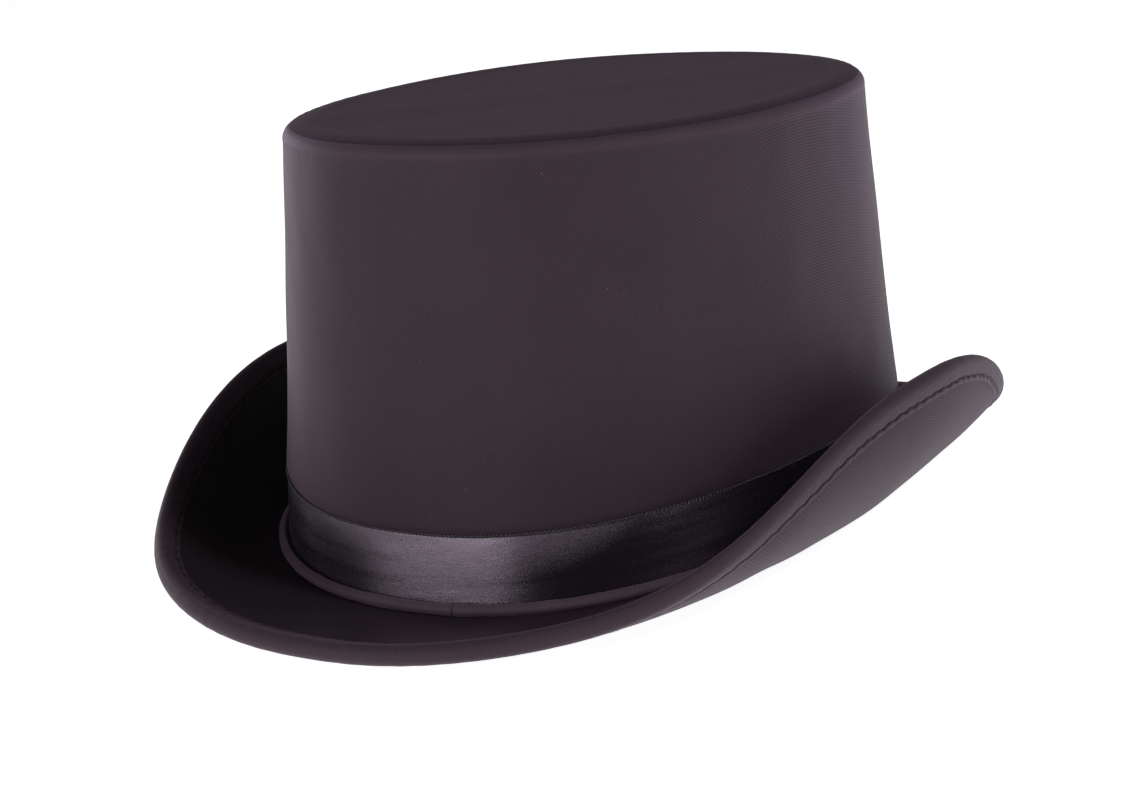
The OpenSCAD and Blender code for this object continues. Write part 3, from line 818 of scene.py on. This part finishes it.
def collar():
    a = stations(900, (JOIN_ANGLE, BACK))[:, None]
    out, z = roll_place(a, COLLAR_R)
    s = np.radians(a - JOIN_ANGLE) * HALF_W
    gap = bump(s + 0.25 * np.sign(s), 0.3)
    f = np.arange(26)[None, :] * 360 / 26
    fat = COLLAR_R + 0.05 * waves(a, 0 * a, 12, 8, 50, 1.0, 51)
    r = fat * (1 - 0.42 * gap) * (1 + 0.05 * np.abs(sin(f)) ** 3)
    p = wall(a, -out - r * cos(f), z + r * sin(f))
    length = around(p.mean(1))
    flat = np.stack(np.broadcast_arrays(length[:, None], np.linspace(0, 9.4, 27)[None, :]), -1)
    o = loft("collar_cloth", p, COLLAR_CLOTH_PAINTED_LIGHT, flat, wear=np.clip(cos(f), 0, 1) ** 3)
    place(o, "satin_twill", "base_welt")
    out, z = roll_place(A, COLLAR_R)
    f = f[:, ::2]
    o = loft("collar_cord", wall(A, -out - CORD_R * cos(f), z + CORD_R * sin(f)), CORD)
    place(o, "cord", "base_welt_cord")


def ribbon_out(a, v):
    """How far the ribbon's face stands out from the wall at a height v on the ribbon."""
    free = np.clip(v / 2, 0, 1) * np.clip((RIBBON_W - v) / 2, 0, 1)
    crease = 0.05 * bump(v - 6.0 - 0.09 * (a - 28), 0.9) * bump(a - 33, 14)
    crease = crease + 0.02 * bump(v - 4.5, 1.0) * bump(a - 8, 6)
    swell = 0.03 * waves(a, v, 12, 3, 16, 5.0, 61) + 0.006 * waves(a, 3 * v, 16, 20, 50, 14.0, 62)
    return RIBBON_T + 0.12 + free * (swell - crease)


def ribbon():
    a = stations(1080, (BACK,))[:, None]
    v = np.concatenate([np.linspace(0, 0.8, 5)[:-1], np.linspace(0.8, RIBBON_W - 0.8, 40),
                        np.linspace(RIBBON_W - 0.8, RIBBON_W, 5)[1:]])[None, :]
    z = base_z(a) + RIBBON_LOW + v
    outer = wall(a, -ribbon_out(a, v), z)
    few = np.linspace(0, RIBBON_W, 10)[None, :]
    inner = wall(a, -0.04, base_z(a) + RIBBON_LOW + few)
    length = around(outer[:, 20])
    flat = np.stack(np.broadcast_arrays(length[:, None], v), -1)
    o = sheet_loft("ribbon_satin_band", outer, inner, RIBBON, flat)
    place(o, "satin_ribbon", "ribbon_band")
    count = round(length[-1] / 1.15)
    middles = np.interp((np.arange(count) + 0.5) * length[-1] / count, length,
                        np.append(a[:, 0], 360.0))
    half = 0.4 * 360 / count
    paths = []
    for low in (True, False):
        for b in middles:
            turn = np.linspace(0, 180, 7)
            ang = b + half * cos(turn)
            rise = 0.72 * sin(turn)
            v0 = -rise + 0.1 if low else RIBBON_W + rise - 0.1
            paths.append(wall(ang, -0.6 - 0.35 * sin(turn), base_z(ang) + RIBBON_LOW + v0))
    loops = tubes("ribbon_picots", paths, 0.16, PICOT_PAINTED_HIGHLIGHT, 5, 1.0)
    place(loops, "satin_ribbon")

    half = half_angle(LAP_L)
    b = np.linspace(BACK - half, BACK + half, 60)[:, None]
    low_v = roll_place(b[:1], COLLAR_R)[1] + COLLAR_R + CLEAR - base_z(b[:1]) - RIBBON_LOW
    v = np.linspace(float(low_v[0, 0]), RIBBON_W - 0.1, 26)[None, :]
    fold = (np.clip(1 - ((b - b[0]) / (half * 0.08)) ** 2, 0, 1)
            + np.clip(1 - ((b[-1] - b) / (half * 0.08)) ** 2, 0, 1))
    out = RIBBON_T * 2 + 0.16 + 0.08 * waves(b, 2 * v, 8, 8, 30, 6, 63) - 0.35 * fold
    outer = wall(b, -out, base_z(b) + RIBBON_LOW + v)
    inner = wall(b, -RIBBON_T - 0.24, base_z(b) + RIBBON_LOW + v[:, ::5])
    length = np.radians(b - b[0]) * HALF_W
    flat = np.stack(np.broadcast_arrays(length, v), -1)
    o = sheet_loft("ribbon_lap_end", outer, inner, RIBBON, flat, close=False)
    place(o, "satin_ribbon", "ribbon_lap")
    paths = []
    for k in np.linspace(0.12, 0.9, 7):
        v0 = v[0, 0] + (v[0, -1] - v[0, 0]) * k
        ang = BACK - half + np.linspace(-0.35, 0.75, 5)
        paths.append(wall(ang, -np.interp(ang, [BACK - half - 0.3, BACK - half + 0.5],
                                          [RIBBON_T + 0.2, 2 * RIBBON_T + 0.3]),
                          base_z(ang) + RIBBON_LOW + v0 + np.linspace(-0.4, 0.4, 5)))
    o = tubes("ribbon_tack_threads", paths, 0.14, THREAD, 6)
    place(o, "thread", "ribbon_tacks")


# ---- Inside ----

def inside():
    low = base_z(A) + LINING_UP
    up = np.linspace(0, 1, 60)[None, :]
    z = low + (LINING_TOP - low) * up
    folds = 0.5 + 0.5 * np.tanh(waves(A, 2 * z, 14, 24, 64, 0.5, 71))
    ease = np.clip((z - base_z(A) - BAND_H) / 14, 0, 1) * np.clip((1 - up) * 20, 0, 1)
    puff = ease * ease * (3 - 2 * ease) * (0.3 + 1.3 * folds)
    outer = wall(A, lining_depth(z), z)[:, ::5]
    inner = wall(A, lining_depth(z) + LINING_T + puff, z)
    flat = np.stack(np.broadcast_arrays(ARC[:len(A) + 1], along(inner).mean(0)[None, :]), -1)
    o = sheet_loft("lining_wall", inner[:, ::-1], outer[:, ::-1], LINING, flat[:, ::-1])
    place(o, "lining", "lining_side")

    ring = wall(A, lining_depth(LINING_TOP) + LINING_T, level(LINING_TOP))
    shrink = np.concatenate([np.linspace(1, 0.9, 8), np.linspace(0.9, 0.003, 26)[1:]])
    lines = ring * points(shrink, shrink, 1 + 0 * shrink)[None]
    top = lines[:, ::-6]
    x, y = lines[..., 0], lines[..., 1]
    sag = 1.2 * (1 - shrink[None, :] ** 4) + 0.25 * np.cos(x / 12) * np.cos(y / 15)
    sag = sag + 0.25 * np.exp(-(1 - shrink[None, :]) * 14) * waves(A, 0, 8, 50, 90, 1.0, 72)
    lines[..., 2] -= LINING_T + sag * np.clip((1 - shrink) * 20, 0, 1)[None, :]
    o = disc("lining_top", np.concatenate([top, lines], 1), LINING)
    place(o, "lining", "lining_tip")

    v = np.concatenate([[FOOT - BRIM_T, 0, TAPE_UP, LINING_UP - CLEAR],
                        np.linspace(LINING_UP, BAND_H, 30)[1:]])
    depth = np.interp(v, [FOOT - BRIM_T, TAPE_UP, LINING_UP - CLEAR, BAND_H],
                      [WALL_T + TAPE_T, WALL_T + TAPE_T, band_depth(LINING_UP),
                       band_depth(BAND_H)])[None, :]
    v = v[None, :]
    ease = np.clip((v - 6) / 8, 0, 1)
    slack = ease * (0.3 + 0.22 * waves(A, 2 * v, 12, 4, 26, 2.0, 73))
    seam = 0.3 * bump(v - BAND_H + 2.2, 0.5)
    seam_back = 0.3 * bump(np.radians(A - BACK) * HALF_W, 0.5) * ease
    inner = opening(A, depth + BAND_T + slack - seam - seam_back, v)
    outer = opening(A, (depth + slack * 0.8)[:, ::4], v[:, ::4])
    flat = np.stack(np.broadcast_arrays(ARC[:len(A) + 1], along(inner).mean(0)[None, :]), -1)
    o = sheet_loft("sweatband_cloth", inner[:, ::-1], outer[:, ::-1], BAND, flat[:, ::-1])
    place(o, "sweatband", "sweatband")
    row_up = BAND_H - 2.2
    row_depth = float(np.interp(row_up, v[0], (depth + BAND_T + 0.3)[0]))

    count = 150
    paths = []
    for b in (np.arange(count) + 0.5) * 360 / count:
        b0 = np.linspace(b - 0.75, b + 0.75, 5)
        zig = np.linspace(-0.5, 0.5, 5) * (1 if round(b) % 2 else -1)
        paths.append(opening(b0, WALL_T + TAPE_T + BAND_T + 0.05, 2.0 - BRIM_T + 0 * zig))
        paths.append(opening(b0, row_depth - 0.1, row_up + zig))
    o = tubes("sweatband_thread", paths, 0.17, THREAD, 5)
    place(o, "thread", "sweatband_stitches")

    half = half_angle(LABEL_W)
    b = np.linspace(BACK - half, BACK + half, 50)[:, None]
    v = np.linspace(LABEL_UP, LABEL_UP + LABEL_H, 20)[None, :]
    ease = np.clip((v - 6) / 8, 0, 1)
    slack = ease * (0.3 + 0.22 * waves(b, 2 * v, 12, 4, 26, 2.0, 73))
    on = band_depth(v) + BAND_T + slack
    hem = 0.14 * (bump((b - BACK + half * 0.92) / half, 0.03)
                  + bump((b - BACK - half * 0.92) / half, 0.03))
    inner = opening(b, on + 0.34 - hem, v)
    outer = opening(b, on + 0.04, v)[:, ::3]
    flat = np.stack(np.broadcast_arrays(np.radians(b - b[0]) * HALF_W, v), -1)
    o = sheet_loft("blank_label", inner[:, ::-1], outer[:, ::-1], LABEL, flat[:, ::-1],
                   close=False)
    place(o, "label", "size_label")

    v = np.linspace(FOOT - BRIM_T, TAPE_UP, 10)[None, :]
    o = sheet_loft("opening_binding", opening(A, WALL_T, v),
                   opening(A, WALL_T + TAPE_T + 0 * v, v), TAPE)
    place(o, "tape", "opening_tape")
    half = half_angle(TAPE_W)
    b = np.linspace(BACK - half, BACK + half, 30)[:, None]
    z = np.linspace(base_z(BACK) + LINING_UP, LINING_TOP, 20)[None, :]
    o = sheet_loft("seam_tape", wall(b, WALL_T, z), wall(b, WALL_T + TAPE_T, z), TAPE,
                   close=False)
    place(o, "tape", "crown_seam_tape")


crown_cover()
tip()
crown_frame()
brim()
binding()
collar()
ribbon()
inside()

# ---- Floor, light and camera ----

floor_mesh = bpy.data.meshes.new("floor")
FAR = 60              # half the floor's width in metres, so that its edge is out of sight
floor_mesh.from_pydata([(-FAR, -FAR, 0), (FAR, -FAR, 0), (FAR, FAR, 0), (-FAR, FAR, 0)], [],
                       [(0, 1, 2, 3)])
floor = bpy.data.objects.new("floor", floor_mesh)
bpy.context.collection.objects.link(floor)
paper = Nodes("floor_paper")
grain = paper.place_noise(0.2, 2.0)
paper.set(Base_Color=paper.mix(grain, (0.84, 0.84, 0.84, 1), (0.88, 0.88, 0.88, 1)),
          Roughness=0.9, Specular_IOR_Level=0.1,
          Emission_Color=(1, 1, 1, 1), Emission_Strength=0.9)
floor_mesh.materials.append(paper.material)

world = bpy.data.worlds.new("studio")
bpy.context.scene.world = world
world.use_nodes = True
tree = world.node_tree
coord = tree.nodes.new("ShaderNodeTexCoord")
split = tree.nodes.new("ShaderNodeSeparateXYZ")
ramp = tree.nodes.new("ShaderNodeValToRGB")
tree.links.new(coord.outputs["Generated"], split.inputs[0])
tree.links.new(split.outputs[2], ramp.inputs[0])
tree.links.new(ramp.outputs[0], tree.nodes["Background"].inputs[0])
ramp.color_ramp.elements[0].position, ramp.color_ramp.elements[0].color = 0.0, (1, 1, 1, 1)
ramp.color_ramp.elements[1].color = (0.03, 0.03, 0.032, 1)
for position, grey in ((0.13, 0.75), (0.34, 0.26), (0.62, 0.09)):
    ramp.color_ramp.elements.new(position).color = (grey, grey, grey, 1)
toward = tree.nodes.new("ShaderNodeVectorMath")
toward.operation = "DOT_PRODUCT"
DARK_AZIMUTH = math.radians(42)
toward.inputs[1].default_value = (math.sin(DARK_AZIMUTH), -math.cos(DARK_AZIMUTH), 0)
dark_side = tree.nodes.new("ShaderNodeMapRange")
dark_side.interpolation_type = "SMOOTHSTEP"
for socket, value in (("From Min", 0.78), ("From Max", 0.93),
                      ("To Min", 0.6), ("To Max", 0.06)):
    dark_side.inputs[socket].default_value = value
tree.links.new(coord.outputs["Generated"], toward.inputs[0])
tree.links.new(toward.outputs["Value"], dark_side.inputs["Value"])
tree.links.new(dark_side.outputs[0], tree.nodes["Background"].inputs[1])


def toward_view(azimuth, elevation):
    """Unit vector from the hat to a place seen at these angles, in radians."""
    return Vector((math.sin(azimuth) * math.cos(elevation),
                   -math.cos(azimuth) * math.cos(elevation), math.sin(elevation)))


def softbox(name, azimuth, elevation, distance, size, watts):
    light = bpy.data.lights.new(name, "AREA")
    light.shape, light.size, light.size_y = "RECTANGLE", size[0], size[1]
    light.energy = watts
    o = bpy.data.objects.new(name, light)
    aim = Vector((0, 0, 0.06))
    back = toward_view(math.radians(azimuth), math.radians(elevation))
    o.location = aim + distance * back
    o.rotation_euler = (-back).to_track_quat("-Z", "Y").to_euler()
    bpy.context.collection.objects.link(o)


softbox("key_left", -16, 9, 1.6, (1.5, 0.42), 11.2)
softbox("fill_right", 88, 10, 1.5, (0.6, 0.42), 3.2)
softbox("left", -100, 9, 1.6, (1.2, 0.42), 5.0)
softbox("high_right", 90, 50, 1.3, (0.16, 0.8), 6)

AZIMUTH, ELEVATION, ROLL, DISTANCE = (math.radians(32.12), math.radians(14.55),
                                      math.radians(-3.69), 0.70697)
back = toward_view(AZIMUTH, ELEVATION)
right = Vector((math.cos(AZIMUTH), math.sin(AZIMUTH), 0))
up = back.cross(right)
right_rolled = right * math.cos(ROLL) + up * math.sin(ROLL)
up_rolled = up * math.cos(ROLL) - right * math.sin(ROLL)
SHIFT, TARGET_Z = -0.00828, 0.03402
target = right * SHIFT + Vector((0, 0, TARGET_Z))
camera = bpy.data.objects.new("camera", bpy.data.cameras.new("camera"))
camera.data.sensor_width = 36
camera.data.lens = 73.822
camera.matrix_world = Matrix.Translation(target + back * DISTANCE) @ Matrix(
    (right_rolled, up_rolled, back)).transposed().to_4x4()
bpy.context.collection.objects.link(camera)
bpy.context.scene.camera = camera
bpy.context.scene.view_settings.view_transform = "Standard"
